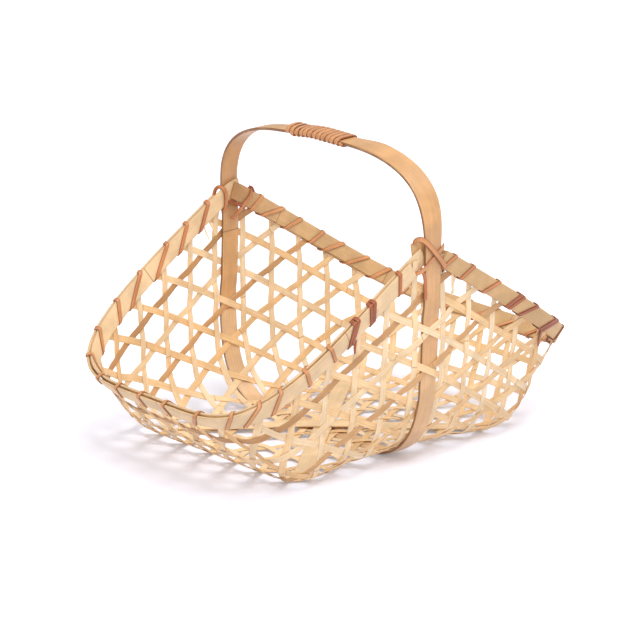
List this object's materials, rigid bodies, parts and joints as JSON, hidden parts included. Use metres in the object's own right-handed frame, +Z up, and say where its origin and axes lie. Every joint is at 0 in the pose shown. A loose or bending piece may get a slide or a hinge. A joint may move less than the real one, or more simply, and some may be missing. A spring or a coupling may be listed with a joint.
{
  "type": "handled woven basket",
  "caption": "Open hexagonal-weave bamboo foraging basket with a saddle-shaped bound rim and an arched band handle that also runs under the base.",
  "frame": {"origin": "centre of the basket's footprint, at the height of its lowest point, the underside of the handle band", "axes": "+X along the basket towards one low end of the rim, +Y across it to one foot of the handle arch, +Z up"},
  "size_m": [0.3608, 0.2512, 0.2412],
  "materials": {
    "bamboo_strip": "split bamboo, satin skin side out",
    "bamboo_rim": "planed bamboo slat, satin",
    "bamboo_handle": "planed bamboo band with lengthwise grain, satin",
    "cane": "split cane, satin"
  },
  "bodies": {
    "root": {"upright_strip_1": "bamboo_strip", "upright_strip_2": "bamboo_strip", "upright_strip_3": "bamboo_strip", "upright_strip_4": "bamboo_strip", "upright_strip_5": "bamboo_strip", "upright_strip_6": "bamboo_strip", "upright_strip_7": "bamboo_strip", "upright_strip_8": "bamboo_strip", "rising_strip_1": "bamboo_strip", "rising_strip_2": "bamboo_strip", "rising_strip_3": "bamboo_strip", "rising_strip_4": "bamboo_strip", "rising_strip_5": "bamboo_strip", "rising_strip_6": "bamboo_strip", "rising_strip_7": "bamboo_strip", "rising_strip_8": "bamboo_strip", "rising_strip_9": "bamboo_strip", "rising_strip_10": "bamboo_strip", "falling_strip_1": "bamboo_strip", "falling_strip_2": "bamboo_strip", "falling_strip_3": "bamboo_strip", "falling_strip_4": "bamboo_strip", "falling_strip_5": "bamboo_strip", "falling_strip_6": "bamboo_strip", "falling_strip_7": "bamboo_strip", "falling_strip_8": "bamboo_strip", "falling_strip_9": "bamboo_strip", "falling_strip_10": "bamboo_strip", "left_ring_strip_1": "bamboo_strip", "left_ring_strip_2": "bamboo_strip", "left_ring_strip_3": "bamboo_strip", "right_ring_strip_1": "bamboo_strip", "right_ring_strip_2": "bamboo_strip", "right_ring_strip_3": "bamboo_strip", "rim_outer_left": "bamboo_rim", "rim_outer_right": "bamboo_rim", "rim_inner_left": "bamboo_rim", "rim_inner_right": "bamboo_rim", "handle_hoop": "bamboo_handle", "grip_binding": "cane", "rim_lashing_left": "cane", "rim_lashing_right": "cane", "handle_lashing_near": "cane", "handle_lashing_far": "cane", "base_brace_lower": "bamboo_rim", "base_brace_upper": "bamboo_rim"}
  },
  "joints": []
}
